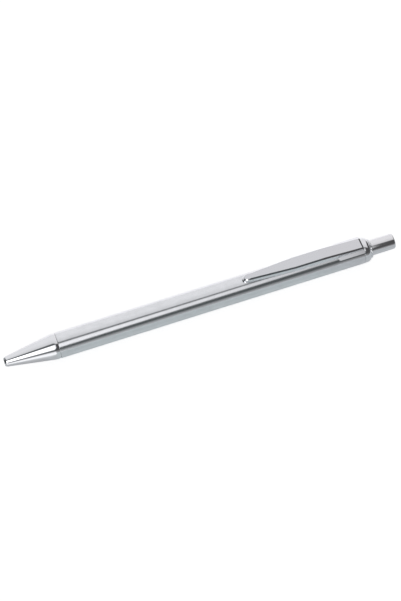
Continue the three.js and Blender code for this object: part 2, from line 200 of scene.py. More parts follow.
# %% Directions in the room
studio = bpy.data.worlds.new("studio")
bpy.context.scene.world = studio
studio.use_nodes = True
studio.node_tree.nodes.clear()
sky = Wire(studio.node_tree)
view_way = sky.node("ShaderNodeTexCoord")
sideways, away, upwards = (
    sky.node("ShaderNodeSeparateXYZ", inputs={0: view_way}, output=axis) for axis in range(3)
)
height = upwards.math("ARCTAN2", upwards, 0 - away) * (180 / np.pi)
print("nodes that name a direction:", len(studio.node_tree.nodes))

# %% [markdown]
# Along the barrel the picture shows, from the far side to the near side: a broad pale band, a thin dark
# line, a bright band, a dark band and a middle grey. Each place across a cylinder mirrors one height, so
# these are a large soft box overhead and behind, a gap, a strip of light in front, the dark room below it
# with a glow near the horizon, and the floor. Each lamp is its brightness times soft steps at its edges.
# The box and the strip lean: an edge shifts by so many degrees for each unit sideways. The strip also fades
# towards the button.

# %% Lamps along the barrel
box_lean = 20
over = height + box_lean * sideways
soft_box = 0.85 * over.rises(77, 92) + 0.13 * over.rises(92, 130)

strip_middle = 0.09
strip_lean = 42
strip_end = sideways.rises(0.258, 0.238)
below = sideways.math("MINIMUM", sideways, strip_middle) - strip_middle
beyond = sideways.math("MAXIMUM", sideways, strip_middle) - strip_middle
front = (height - strip_lean * below).rises(38.5, 49.5) * height.rises(76.5, 66.5)
strip = front * (1.04 - 1.2 * below - 2.4 * beyond) * strip_end
low_glow = 0.45 * height.rises(25, 2) * (1 - 1.3 * beyond)
print("lamps along the barrel: 3")

# %% [markdown]
# The cone of the nose, the rounded tip of the clip and the bead of the collar mirror directions further to
# the side, and the picture shows them whiter. So four more lamps stand there. The first makes the pale band
# low on the nose, and the second whitens its bright band. The third is small and strong: it is the glint on
# the clip's tip and part of the white streak beside the button. The last is a dim one on the far side for
# the nose's lip.

# %% Lamps at the ends
nose_glow = 0.8 * height.rises(20, 3) * sideways.rises(-0.06, -0.1)
corner_light = 3.0 * sideways.between(-0.48, -0.44, -0.2, -0.12) * height.between(38, 44, 60, 66)
tip_light = 4.0 * sideways.between(-0.64, -0.61, -0.34, -0.31) * height.between(3, 7, 28, 34)
far_corner = 0.6 * sideways.rises(-0.5, -0.6) * away.rises(0.5, 0.65)
print("lamps at the ends: 4")

# %% [markdown]
# Where no lamp stands, the room is a dark grey. In the picture the dark bands are a little bluish along
# the barrel and neutral by the button, so the room changes in the same way. The camera itself sees plain
# white in place of the room.

# %% Colour of the room
lit_side = sideways.between(-0.46, -0.35, 0.6, 0.8)
side_lamps = far_corner + corner_light + tip_light
barrel_lamps = lit_side * (soft_box + strip + low_glow + nose_glow)
bluish = sideways.rises(0.25, 0.23)
dark_room = 0.105 + 0.015 * bluish
brightness = dark_room + side_lamps + barrel_lamps
red = brightness - 0.014 * bluish
green = brightness * 0.99
blue = brightness * 1.015
room_colour = sky.node("ShaderNodeCombineColor", inputs={0: red, 1: green, 2: blue})
to_camera = sky.node("ShaderNodeLightPath", output="Is Camera Ray")
plain_white = (1.0, 1.0, 1.0, 1.0)
sky_colour = to_camera.mixed(room_colour, plain_white)
glow = sky.node("ShaderNodeBackground", inputs={"Color": sky_colour})
sky.node("ShaderNodeOutputWorld", inputs={"Surface": glow})
print("the world has", len(studio.node_tree.nodes), "nodes")

# %% [markdown]
# The pen lies on a plain pale floor, a single square. A Light Path node tells which kind of ray asks for
# its colour, so the camera and the pen may see two different papers. A position on the floor comes from its
# Object coordinates.

# %% Floor
floor_size = 3.0
floor_mesh = bpy.data.meshes.new("floor")
half = floor_size / 2
floor_corners = [(-half, -half, 0), (half, -half, 0), (half, half, 0), (-half, half, 0)]
floor_mesh.from_pydata(floor_corners, [], [(0, 1, 2, 3)])
floor = bpy.data.objects.new("floor", floor_mesh)
bpy.context.scene.collection.objects.link(floor)

paper = bpy.data.materials.new("pale floor")
paper.use_nodes = True
paper.node_tree.nodes.clear()
floor_mesh.materials.append(paper)
sheet = Wire(paper.node_tree)
seen_directly = sheet.node("ShaderNodeLightPath", output="Is Camera Ray")
seen_in_metal = sheet.node("ShaderNodeLightPath", output="Is Glossy Ray")
place = sheet.node("ShaderNodeTexCoord", output="Object")
floor_x, floor_y = (
    sheet.node("ShaderNodeSeparateXYZ", inputs={0: place}, output=axis) for axis in range(2)
)
print("floor", floor_size, "m wide")

# %% [markdown]
# The picture shows the floor almost white, yet a floor so bright would also brighten the underside of the
# pen. So the camera alone sees it lifted towards white, by a glow that is added to the light that it really
# gets. The camera's paper is a darker grey, which keeps the soft shadow faint. The metal sees a pale bluish
# paper with a small glow of its own, and the picture's greys show that it isn't the same everywhere: duller
# by the nose and by the button, lighter on the far side, and brightest on the near side of the nose.

# %% Papers of the floor
thin_paper = (0.29, 0.29, 0.29, 1.0)
nose_paper = (0.76, 0.775, 0.785, 1.0)
barrel_paper = (0.75, 0.83, 0.84, 1.0)
button_paper = (0.70, 0.74, 0.765, 1.0)
far_paper = (0.83, 0.825, 0.845, 1.0)
past_nose = floor_x.rises(-0.058, -0.045)
front_paper = past_nose.mixed(nose_paper, barrel_paper)
near_paper = floor_x.rises(0.042, 0.055).mixed(front_paper, button_paper)
mirrored_paper = floor_y.rises(0.0, 0.006).mixed(near_paper, far_paper)
paper_colour = seen_directly.mixed(mirrored_paper, thin_paper)
lit = sheet.node("ShaderNodeBsdfDiffuse", inputs={"Color": paper_colour})

camera_lift = 0.85
by_the_nose = floor_x.rises(-0.0515, -0.0555) * (floor_x - 0.5 * floor_y).rises(-0.076, -0.068)
nose_lift = 0.75 * by_the_nose * floor_y.rises(-0.006, -0.03)
far_lift = 0.42 * floor_y.rises(0.004, 0.018)
close_lift = 0.09 * floor_y.rises(-0.013, -0.0065) * past_nose
even_lift = 0.13
mirror_lift = even_lift + nose_lift + far_lift + close_lift
lift_colour = seen_directly * camera_lift + seen_in_metal * mirror_lift
lift = sheet.node("ShaderNodeEmission", inputs={"Color": lift_colour})
both = sheet.node("ShaderNodeAddShader", inputs={0: lit, 1: lift})
sheet.node("ShaderNodeOutputMaterial", inputs={"Surface": both})
print("the floor's material has", len(paper.node_tree.nodes), "nodes")

# %% [markdown]
# Every metal starts from the same shader with the same constants: fully metallic, one colour, one gloss.
# What makes a finish is a pattern on top. Tools leave marks, and on a turned pen they run round the axis. A
# noise that is squeezed along the axis and stretched across it gives such rings. It drives the gloss and a
# very low bump, and barely the colour.

# %% Metal finishes


def principled(name, colour, roughness, metallic=1.0):
    """A new material, a Wire to build on, and the sockets of its shader."""
    material = bpy.data.materials.new(name)
    material.use_nodes = True
    sockets = material.node_tree.nodes["Principled BSDF"].inputs
    sockets["Base Color"].default_value = (*colour, 1.0)
    sockets["Roughness"].default_value = roughness
    sockets["Metallic"].default_value = metallic
    return material, Wire(material.node_tree), sockets


def grain(wire, along, across, detail=2.0):
    """Noise with so many cycles per millimetre along the pen and across it."""
    scale = (along / MM, across / MM, across / MM)
    place = wire.node("ShaderNodeTexCoord", output="Object")
    mapped = wire.node("ShaderNodeMapping", inputs={"Vector": place, "Scale": scale})
    return wire.node("ShaderNodeTexNoise", inputs={"Vector": mapped, "Scale": 1.0, "Detail": detail})


def bump(wire, height, depth_mm):
    """A normal that follows a height pattern of the given depth."""
    return wire.node("ShaderNodeBump", inputs={"Height": height, "Distance": depth_mm * MM})


def ringed_metal(name, colour, roughness, ring_depth, rings_per_mm=7.0, stain=0.06, spread=0.25):
    """Metal with fine rings round the axis, patches of slightly other gloss and a breath of stain."""
    material, wire, sockets = principled(name, colour, roughness)
    rings = grain(wire, along=rings_per_mm, across=0.12)
    patches = grain(wire, along=0.25, across=0.35, detail=4.0)
    gloss = roughness * (1 + spread * (rings - 0.5) + spread * (patches - 0.5))
    gloss.to(sockets["Roughness"])
    darker = tuple(value * (1 - stain) for value in colour)
    shade = patches.rises(0.35, 0.75).mixed((*colour, 1.0), (*darker, 1.0))
    shade.to(sockets["Base Color"])
    bump(wire, rings, ring_depth).to(sockets["Normal"])
    return material


satin_steel = ringed_metal("satin steel", (0.655, 0.66, 0.672), 0.15, ring_depth=0.0022, rings_per_mm=9.0)
polished_nose = ringed_metal("polished nose", (0.67, 0.675, 0.685), 0.05, ring_depth=0.0002, stain=0.02)
satin_cap = ringed_metal("satin button", (0.665, 0.665, 0.675), 0.1, ring_depth=0.001)
turned_brass = ringed_metal("turned brass", (0.76, 0.56, 0.26), 0.2, ring_depth=0.004, rings_per_mm=5.0)
nickel_brass = ringed_metal("nickel brass", (0.74, 0.70, 0.60), 0.16, ring_depth=0.003)
drawn_wire = ringed_metal("drawn wire", (0.55, 0.555, 0.565), 0.18, ring_depth=0.002, rings_per_mm=2.0)
carbide = ringed_metal("carbide", (0.5, 0.5, 0.51), 0.12, ring_depth=0.0005)
print("ringed metals: 7")

# %% [markdown]
# The clip is folded sheet. It has no turning rings, only hairlines along its length, so its pattern is
# stretched the other way. Its flat face is given a greyer colour and a little more roughness than its
# sides.
# The sides' lighter colour is painted sheen that stands in for the brighter room they mirror. Which of the
# two a point belongs to can't be read from its place, because the clip tapers and ramps. So the clip's mesh
# will carry a number called side, and the material reads it.

# %% Polished sheet


def polished_sheet(name, face_colour, side_sheen_colour, roughness, hairline_depth):
    """Bright sheet with hairlines and patches of handling, duller where side is 0, painted sheen where it
    is 1.
    """
    material, wire, sockets = principled(name, face_colour, roughness)
    side = wire.node("ShaderNodeAttribute", {"attribute_name": "side"}, output="Fac")
    hairlines = grain(wire, along=0.2, across=9.0)
    patches = grain(wire, along=0.3, across=0.5, detail=4.0)
    gloss = roughness * (1 - 0.2 * side + 0.4 * patches + 0.2 * hairlines)
    gloss.to(sockets["Roughness"])
    # Where side is 1 the colour is lighter: painted sheen for the bright room that the sides mirror.
    side.mixed((*face_colour, 1.0), (*side_sheen_colour, 1.0)).to(sockets["Base Color"])
    bump(wire, hairlines, hairline_depth).to(sockets["Normal"])
    return material


# The second colour, for the sides, is the face's colour lifted by painted sheen.
polished_clip = polished_sheet(
    "polished clip", (0.55, 0.552, 0.567), (0.67, 0.672, 0.69), 0.05, hairline_depth=0.0002
)
print("polished sheet is ready")

# %% [markdown]
# The click mechanism, the refill's plug and the ink are hidden inside. They show when someone opens the
# pen, so they are finished too. Moulded plastic has a fine pebbled skin and slow, cloudy changes of gloss,
# and ink paste is smooth and deep.

# %% Plastics and ink


def moulded(name, colour, roughness, pebble_depth, cloud=0.06):
    """Moulded plastic: a fine pebbled skin, cloudy gloss and a slight change of tone."""
    material, wire, sockets = principled(name, colour, roughness, metallic=0.0)
    pebbles = grain(wire, along=6.0, across=6.0)
    clouds = grain(wire, along=0.3, across=0.3, detail=4.0)
    gloss = roughness * (0.85 + 0.3 * clouds)
    gloss.to(sockets["Roughness"])
    deeper = tuple(value * (1 - cloud) for value in colour)
    clouds.rises(0.35, 0.7).mixed((*colour, 1.0), (*deeper, 1.0)).to(sockets["Base Color"])
    bump(wire, pebbles, pebble_depth).to(sockets["Normal"])
    return material


white_plastic = moulded("white plastic", (0.80, 0.79, 0.75), 0.42, pebble_depth=0.004)
dark_plastic = moulded("dark plastic", (0.035, 0.036, 0.04), 0.38, pebble_depth=0.004)
ink_paste = moulded("ink paste", (0.012, 0.02, 0.16), 0.12, pebble_depth=0.001, cloud=0.3)
print("plastics: 3")

# %% [markdown]
# Most pieces of a pen are turned on a lathe, and a lathe needs only a profile. In numpy the whole surface
# is one product: each point of the profile is carried round the axis to every angle at once. The faces are
# quads between neighbours on that grid. Real edges are never knife sharp, so the corners of a profile are
# softened by short curves before it is turned.

# %% Turned surfaces
import bmesh

turns = 144
sharp_angle = np.radians(32)
weld_mm = 0.0005


def softened(corners, radii, steps=6, closed=True):
    """A path whose corners become curves. Each is a quadratic curve that starts a radius before the corner
    and ends a radius after it, or two radii where these differ: (1-t)^2 of the start, 2t(1-t) of the corner
    and t^2 of the end."""
    corners = np.asarray(corners, float)
    t = np.linspace(0, 1, steps + 1)[:, None]
    path = []
    for i, (corner, radius) in enumerate(zip(corners, radii)):
        if not np.any(radius) or (not closed and i in (0, len(corners) - 1)):
            path.append(corner[None])
            continue
        before = corners[i - 1] - corner
        after = corners[(i + 1) % len(corners)] - corner
        radius_before, radius_after = np.broadcast_to(radius, 2)
        start = corner + before / np.linalg.norm(before) * radius_before
        end = corner + after / np.linalg.norm(after) * radius_after
        path.append((1 - t) ** 2 * start + 2 * t * (1 - t) * corner + t**2 * end)
    return np.concatenate(path)


def turned(profile, angles=None):
    """Points of a surface of revolution: (station, radius cos angle, radius sin angle) for each profile
    point and each angle. Angle 0 is across the pen and a quarter turn is its top."""
    if angles is None:
        angles = np.linspace(0, 2 * np.pi, turns, endpoint=False)
    along, radius = np.asarray(profile).T
    across = np.outer(radius, np.cos(angles))
    upward = np.outer(radius, np.sin(angles))
    return np.stack([np.broadcast_to(along[:, None], across.shape), across, upward], -1)


def grid_faces(rows, columns, wrap_rows, wrap_columns):
    """Quads between neighbours of a grid that is numbered row by row. A wrapped side joins its end to its
    start."""
    row = np.arange(rows if wrap_rows else rows - 1)[:, None]
    column = np.arange(columns if wrap_columns else columns - 1)[None, :]
    next_row = (row + 1) % rows
    next_column = (column + 1) % columns
    corners = [
        row * columns + column,
        row * columns + next_column,
        next_row * columns + next_column,
        next_row * columns + column,
    ]
    return np.stack(corners, -1).reshape(-1, 4)


def piece(name, shells, material, body=None):
    """A finished mesh from grids of points in the pen's own millimetres. Points that meet are welded, which
    closes poles and seams, and faces are turned outwards."""
    points = []
    faces = []
    count = 0
    for grid, wrap_rows, wrap_columns in shells:
        rows, columns = grid.shape[:2]
        points.append(grid.reshape(-1, 3))
        faces.append(grid_faces(rows, columns, wrap_rows, wrap_columns) + count)
        count += rows * columns
    places = np.concatenate(points) * MM + (tip_x, 0, axis_z)
    mesh = bpy.data.meshes.new(name)
    mesh.from_pydata(places.tolist(), [], np.concatenate(faces).tolist())
    shape = bmesh.new()
    shape.from_mesh(mesh)
    bmesh.ops.remove_doubles(shape, verts=shape.verts, dist=weld_mm * MM)
    bmesh.ops.recalc_face_normals(shape, faces=shape.faces)
    open_edges = sum(len(edge.link_faces) != 2 for edge in shape.edges)
    shape.to_mesh(mesh)
    shape.free()
    mesh.shade_smooth()
    mesh.set_sharp_from_angle(angle=sharp_angle)
    mesh.materials.append(material)
    made = bpy.data.objects.new(name, mesh)
    bpy.context.scene.collection.objects.link(made)
    if body:
        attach(made, body)
    print(name, "has", len(mesh.polygons), "faces and", open_edges, "open edges")
    return made


# %% [markdown]
# The nose is one turned and polished piece: a bevelled lip, a long straight cone and, before the seam, a
# short taper back in. The lip shows as a dark ring in the picture, because it mirrors the dark end of the
# room, and the taper as the dark patch at the seam. Inside are a narrow bore for the point and a wide one
# for the spring, and a spigot that screws into the barrel.

# %% Nose cone
cone_length = 16.85
cone_front_radius = 1.58
cone_slope = (barrel_radius - cone_front_radius) / cone_length
lip_length = 0.65
lip_drop = 0.22
nose_seam = 0.03
nose_rear = barrel_front - nose_seam
seam_drop = 0.16
tip_bore = 1.2
spring_bore = 2.25
spring_bore_wall = 0.4
spring_seat = (spring_bore + spring_bore_wall - cone_front_radius) / cone_slope
spigot_wall = 0.9
spigot_radius = spring_bore + spigot_wall
nose_spigot_length = 7.8
spigot_rear = nose_rear + nose_spigot_length
edge = 0.07
fine_edge = 0.05

nose_corners = [
    (0, tip_bore),
    (0, cone_front_radius - lip_drop),
    (lip_length, cone_front_radius + lip_length * cone_slope),
    (cone_length, barrel_radius),
    (nose_rear, barrel_radius - seam_drop),
    (nose_rear, spigot_radius),
    (spigot_rear, spigot_radius),
    (spigot_rear, spring_bore),
    (spring_seat, spring_bore),
    (spring_seat, tip_bore),
]
taper_edge = (0.6, 0.3)
nose_edges = [fine_edge, 0.1, 0.12, taper_edge, edge, fine_edge, 0.25, fine_edge, fine_edge, 0.1]
nose = piece(
    "nose",
    [(turned(softened(nose_corners, nose_edges)), True, True)],
    polished_nose,
    "barrel",
)
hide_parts("nose_cone")

# %% [markdown]
# The barrel is a plain tube, but it has an open notch at the top of its rear end, where a tab of the clip
# drops in. A notch could be cut with a Boolean modifier. It is simpler to pull back the points that lie in
# it: the rear rows move forward by the notch's length wherever their angle is inside the notch.

# %% Barrel
barrel_wall = 0.44
barrel_bore = barrel_radius - barrel_wall
notch_length = 1.5
notch_half_width = 1.4
notch_wall = 0.02
notch_angle = np.arcsin(notch_half_width / barrel_radius)
even_angles = np.linspace(0, 2 * np.pi, turns, endpoint=False)
notch_angles = np.pi / 2 + np.array([-1, 1])[:, None] * (notch_angle + np.array([0, notch_wall]))
barrel_angles = np.unique(np.concatenate([even_angles, notch_angles.ravel()]))
before_notch = barrel_rear - 2 * notch_length

barrel_corners = [
    (barrel_front, barrel_bore),
    (barrel_front, barrel_radius),
    (before_notch, barrel_radius),
    (barrel_rear, barrel_radius),
    (barrel_rear, barrel_bore),
    (before_notch, barrel_bore),
]
barrel_edges = [fine_edge, edge, 0, edge, fine_edge, 0]
barrel_points = turned(softened(barrel_corners, barrel_edges), barrel_angles)
in_notch = np.abs(barrel_angles - np.pi / 2) < notch_angle + notch_wall / 2
pulled = (barrel_points[..., 0] > before_notch + notch_length / 2) & in_notch[None, :]
barrel_points[..., 0] -= notch_length * pulled
barrel = piece("barrel", [(barrel_points, True, True)], satin_steel, "barrel")
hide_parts("barrel_tube")

# %% [markdown]
# The end collar closes the barrel: a short straight rim, a full shoulder down towards the button, and a
# small bead round the button's hole. The shoulder is the quarter of an ellipse, which leaves the rim
# without a corner, and the bead is part of a circle. Both mirror the dark room and the lamps once more,
# which gives the dark line on the shoulder and the white streak beside the button.

# %% End collar
button_radius = (button_high.z - button_low.z) / 2 / MM
button_play = 0.1
button_bore = button_radius + button_play
collar_seam = 0.05
collar_front = barrel_rear + collar_seam
collar_rear = station(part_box("end_collar")[1].x)
collar_rim = 0.7
collar_step = 0.07
collar_radius = barrel_radius - collar_step
thread_play = 0.03
thread_radius = (button_bore + barrel_bore) / 2 - thread_play
collar_spigot_length = 3.5
spigot_front = collar_front - collar_spigot_length

bead_radius = 0.36
bead_height = 0.24
bead_middle = np.array([collar_rear - bead_radius, button_bore + bead_height])
bead_sweep = np.radians(150)
bead_turn = np.linspace(bead_sweep, 0, 11)[:, None]
quarter = np.linspace(0, np.pi / 2, 15)[:, None]
bead = bead_middle + bead_radius * np.hstack([np.cos(bead_turn), np.sin(bead_turn)])
shoulder_start = collar_front + collar_rim
shoulder_rear, shoulder_foot = bead[0]
shoulder = np.hstack(
    [
        shoulder_start + (shoulder_rear - shoulder_start) * np.sin(quarter[:-1]),
        shoulder_foot + (collar_radius - shoulder_foot) * np.cos(quarter[:-1]),
    ]
)
collar_corners = np.concatenate(
    [
        [(spigot_front, button_bore), (spigot_front, thread_radius), (collar_front, thread_radius)],
        [(collar_front, collar_radius)],
        shoulder,
        bead,
        [(collar_rear, button_bore)],
    ]
)
no_edges = [0] * (len(shoulder) + len(bead))
collar_edges = [fine_edge, 0.15, 0.02, edge, *no_edges, 0.04]
collar = piece(
    "collar",
    [(turned(softened(collar_corners, collar_edges)), True, True)],
    polished_nose,
    "barrel",
)
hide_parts("end_collar")

# %% [markdown]
# The button is a drawn cap over the plunger's stem. A cap has no hole, so its profile starts and ends on
# the axis, and the welding closes those two poles. Its end is flat with a soft edge, as the thumb needs it.

# %% Push button
button_front = station(button_low.x)
button_wall = 0.5
thumb_edge = 0.6
button_corners = [
    (button_rear, 0),
    (button_rear, button_radius),
    (button_front, button_radius),
    (button_front, button_radius - button_wall),
    (button_rear - button_wall, button_radius - button_wall),
    (button_rear - button_wall, 0),
]
button_edges = [0, thumb_edge, fine_edge, fine_edge, 0.2, 0]
button_profile = softened(button_corners, button_edges, closed=False)
button = piece("button", [(turned(button_profile), False, True)], satin_cap, "button")
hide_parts("push_button")

# %% [markdown]
# The clip is one strip of sheet, folded into a channel that closes round its tip. Its plate tapers from the
# root to the nose, ramps down to the root and droops at the tip. Its walls come down close to the barrel at
# the tip, leave a line of daylight over it in the middle, and end at the root in two wings that hug it.
# Small functions give each of these by how far behind the clip's tip a place lies.

# %% Sizes of the clip
clip_rear = barrel_rear
clip_tip = station(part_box("clip")[0].x)
clip_length = clip_rear - clip_tip
clip_sheet = 0.45
clip_rise = 1.53
root_rise = 0.7
ramp_length = 15.5
root_half_width = 2.3
tip_half_width = 1.35
wide_length = 24
nose_length = 3
nose_squareness = 2 / 2.4
end_drop = 0.45
rear_bevel = 0.55
rear_drop = 0.29
fold_size = 0.47
fold_softness = 0.05
flare = 0.12
wing_length = 8.8
wing_slope = np.radians(33)
wing_reach = 0.97
wing_cut = 0.03
knee_out = 0.03
landing = 0.12
bend_share = 0.5
touch = 0.11
daylight = 0.4
wing_front = clip_length - wing_length


def ease(value, start, end):
    """0 before start and 1 after end, with a soft step 3t^2 - 2t^3 between."""
    t = np.clip((value - start) / (end - start), 0, 1)
    return t * t * (3 - 2 * t)


def clip_top(along):
    """Height of the top plate over the axis, counted from the clip's tip: it ramps down to the root, its
    nose droops with the cube of the distance from the nose's start, and its rear end is bevelled."""
    rise = clip_rise + (root_rise - clip_rise) * ease(along, clip_length - ramp_length, clip_length)
    near_tip = np.clip(1 - along / nose_length, 0, 1)
    near_rear = np.clip(1 - (clip_length - along) / rear_bevel, 0, 1)
    return barrel_radius + rise - end_drop * near_tip**3 - rear_drop * near_rear


def clip_half_width(along):
    """Half the width of the top plate: full near the root, then a straight taper to the nose."""
    taper = np.clip((clip_length - wide_length - along) / (clip_length - wide_length - nose_length), 0, 1)
    return root_half_width + (tip_half_width - root_half_width) * taper


def clip_underside(along):
    """Radius from the pen's axis at which the channel's walls end: close to the barrel at the tip and under
    the wings, and a little clear of it between them."""
    behind_nose = ease(along, nose_length, 3 * nose_length)
    before_wings = ease(along, wing_front, clip_length - 2 * wing_length)
    return barrel_radius + touch + (daylight - touch) * (behind_nose * before_wings)


print(f"clip {clip_length:.1f} mm long")

# %% [markdown]
# Folded sheet can be seen as columns of points that all start on the clip's middle line, run out to its
# outline, turn down over the fold and follow the wall to its free edge. Near the tip the columns fan out
# from one point, and that makes the rounded nose. So the first step is the outline. Extra columns stand
# close together where the wings begin and at the rear bevel, because those edges are crisp.

# %% Outline of the clip
nose_columns = 25
straight_columns = 120


def clip_outline(inset):
    """Foot points of the columns, half of them: where each starts on the middle line, which way it runs and
    how far. Round the nose the outline is a superellipse."""
    quarter_turn = np.linspace(0, np.pi / 2, nose_columns)
    reach_along = (nose_length - inset) * np.cos(quarter_turn) ** nose_squareness
    reach_across = (tip_half_width - inset) * np.sin(quarter_turn) ** nose_squareness
    straight = np.linspace(nose_length, clip_length, straight_columns)[1:]
    at_wings = wing_front + np.array([-wing_cut, wing_cut])
    at_bevel = clip_length - rear_bevel * np.array([1.15, 1.05, 0.95, 0.85, 0.4])
    straight = np.unique(np.concatenate([straight, at_wings, at_bevel]))
    start = np.concatenate([np.full(nose_columns, float(nose_length)), straight])
    along = np.concatenate([-reach_along, np.zeros(len(straight))])
    across = np.concatenate([reach_across, clip_half_width(straight) - inset])
    reach = np.hypot(along, across)
    return start, along / reach, across / reach, reach


print("columns on each side:", len(clip_outline(0)[0]))

# %% [markdown]
# Near the root the wall doesn't stop over the barrel. It bends over a knee and becomes a flat wing, which
# lies on the barrel like a plank on a log: square to the radius at the wing's slope from the top. The wing
# is worked out for every column, but only those behind its front edge use it.

# %% Wing of the clip


def clip_wing(reach, top_across, top_up, drop, inset):
    """Across and up for the wall as a wing. The first share of the drop is a quadratic curve from the fold
    over the knee to the landing, and the rest is straight: wing_height along the radius, then slide square
    to it."""
    wing_height = barrel_radius + touch + clip_sheet - inset
    knee_across = reach + knee_out
    knee_at = (knee_across - wing_height * np.sin(wing_slope)) / np.cos(wing_slope)
    knee_up = wing_height * np.cos(wing_slope) - knee_at * np.sin(wing_slope)
    landing_at = knee_at + landing
    straight = np.clip((drop - bend_share) / (1 - bend_share), 0, 1)
    slide = landing_at + (wing_reach - landing_at) * straight
    slide_across = wing_height * np.sin(wing_slope) + slide * np.cos(wing_slope)
    slide_up = wing_height * np.cos(wing_slope) - slide * np.sin(wing_slope)
    bend = np.clip(drop / bend_share, 0, 1)
    over_knee = 2 * bend * (1 - bend)
    bend_across = (1 - bend) ** 2 * top_across + over_knee * knee_across + bend**2 * slide_across
    bend_up = (1 - bend) ** 2 * top_up + over_knee * knee_up + bend**2 * slide_up
    on_wing = drop > bend_share
    return np.where(on_wing, slide_across, bend_across), np.where(on_wing, slide_up, bend_up)


print("the wing reaches", wing_reach, "mm past the place where it touches")

# %% [markdown]
# Each column is the flat plate, the fold and the wall one after another, and the fold is a flat chamfer
# between two soft edges. The inside is the same set of columns with every size less by the sheet. Round
# each cross section the two skins are one loop, and a strip between them closes the cut end at the root.

# %% Columns of the clip
plate_points = 9
wall_points = 25


def clip_columns(inset):
    """Half of the clip's outer skin, or of its inner one when inset is the sheet's thickness. The plate
    runs straight out, the fold goes from out by its size to down by its size, and the wall runs straight to
    its foot or, behind the wing's front, along the wing."""
    start, way_along, way_across, reach = (value[:, None] for value in clip_outline(inset))
    flat = np.linspace(0, 1, plate_points)[None, :]
    drop = np.linspace(0, 1, wall_points)[None, 1:]
    fold = fold_size - inset * (np.sqrt(2) - 1)
    corner = [(-2 * fold, 0), (-fold, 0), (0, fold), (0, 2 * fold)]
    fold_path = softened(corner, [0, fold_softness, fold_softness, 0], steps=5, closed=False)[1:-1]
    fold_out, fold_down = fold_path.T[:, None, :]

    flat_reach = reach + fold_path[0, 0]
    out = np.concatenate([flat_reach * flat[:, :-1], reach + fold_out], 1)
    down = np.concatenate([0 * flat[:, :-1] * reach, fold_down + 0 * reach], 1)
    along = start + way_along * out
    across = way_across * out
    upward = clip_top(along) - inset - down

    foot_reach = reach + flare
    foot_along = start + way_along * foot_reach
    foot_across = way_across * foot_reach
    foot_up = np.sqrt(clip_underside(foot_along) ** 2 - foot_across**2)
    wall_along = along[:, -1:] + (foot_along - along[:, -1:]) * drop
    wall_across = across[:, -1:] + (foot_across - across[:, -1:]) * drop
    wall_up = upward[:, -1:] + (foot_up - upward[:, -1:]) * drop

    wing_across, wing_up = clip_wing(reach, across[:, -1:], upward[:, -1:], drop, inset)
    wing = ease(start, wing_front - wing_cut, wing_front + wing_cut)
    low_across = wall_across + (wing_across - wall_across) * wing
    low_up = wall_up + (wing_up - wall_up) * wing
    return np.stack(
        [
            clip_tip + np.concatenate([along, wall_along], 1),
            np.concatenate([across, low_across], 1),
            np.concatenate([upward, low_up], 1),
        ],
        -1,
    )


def both_halves(columns):
    """Whole cross sections from half ones: the mirrored columns backwards, then the columns themselves."""
    return np.concatenate([columns[:, :0:-1] * (1, -1, 1), columns], 1)


outer_skin = both_halves(clip_columns(0))
inner_skin = both_halves(clip_columns(clip_sheet))
clip_points = np.concatenate([outer_skin, inner_skin[:, ::-1]], 1)
clip_end = np.stack([outer_skin[-1], inner_skin[-1]])
print("clip grid", clip_points.shape[:2])

# %% [markdown]
# A tab closes the channel's rear end and drops through the notch into the barrel, which is how the clip is
# held. It is a block with rounded edges: a superellipse outline, carried from the barrel's inside up to the
# top plate, and smaller at its foot.

# %% Tab of the clip
tab_half_width = 1.3
tab_half_length = 0.45
tab_foot = 3.35
tab_head = clip_top(np.array(clip_length)) - clip_sheet / 2
tab_columns = 48
tab_turn = np.linspace(0, 2 * np.pi, tab_columns, endpoint=False)
tab_squareness = 2 / 8
tab_rise = np.array([0, 0, 0.04, 0.15, 1, 1])
tab_size = np.array([0, 0.8, 0.95, 1, 1, 0])


def signed_power(value, power):
    """The size of a value raised to a power, with its sign kept. It draws the sides of a superellipse."""
    return np.sign(value) * np.abs(value) ** power


tab_along = clip_rear - tab_half_length + tab_half_length * tab_size[:, None] * signed_power(
    np.cos(tab_turn), tab_squareness
)
tab_across = tab_half_width * tab_size[:, None] * signed_power(np.sin(tab_turn), tab_squareness)
tab_up = np.broadcast_to((tab_foot + (tab_head - tab_foot) * tab_rise)[:, None], tab_along.shape)
tab_points = np.stack([tab_along, tab_across, tab_up], -1)
print("tab grid", tab_points.shape[:2])

# %% [markdown]
# Skins, rear end and tab make one object. Its number called side, which the polished sheet reads, comes
# from the finished mesh: 0 where the surface looks up and 1 where it looks across the pen.

# %% Clip
clip = piece(
    "spring_clip",
    [(clip_points, False, True), (clip_end, False, False), (tab_points, False, True)],
    polished_clip,
)
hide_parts("clip")

normals = np.empty(3 * len(clip.data.vertices), np.float32)
clip.data.vertex_normals.foreach_get("vector", normals)
# Side is 1 where the surface looks across the pen; there the clip gets its painted sheen.
side_from = 0.3
side_full = 0.45
side = ease(np.abs(normals[1::3]), side_from, side_full)
clip.data.attributes.new("side", "FLOAT", "POINT").data.foreach_set("value", side.astype(np.float32))
print(f"share of the clip's points on a side: {side.mean():.2f}")

# %% [markdown]
# A real clip bends when it opens: its root stays on the barrel, and from there forward each point follows
# the springing part a little more. Here the finished mesh is only fixed in the frame, and the two ends of
# that bend are worked out: the root, and a place two wing lengths forward of it.

# %% Clip in the frame


def in_frame(along, across, upward):
    """A point of the pen's own millimetres as metres in the frame."""
    return (tip_x + along * MM, across * MM, axis_z + upward * MM)


bend_start = in_frame(clip_rear, 0, barrel_radius)
bend_end = in_frame(clip_rear - 2 * wing_length, 0, barrel_radius)
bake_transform(clip)
print("the clip bends over", round(2 * wing_length, 1), "mm")

# %% [markdown]
# The writing point sits inside the nose until the button is pressed. It is turned from nickel silver: a
# shank in its holder, a straight body and a long taper to a lip that is rolled round the ball. The cup
# behind the lip is part of a sphere, a little larger than the ball, with a hole for the ink.

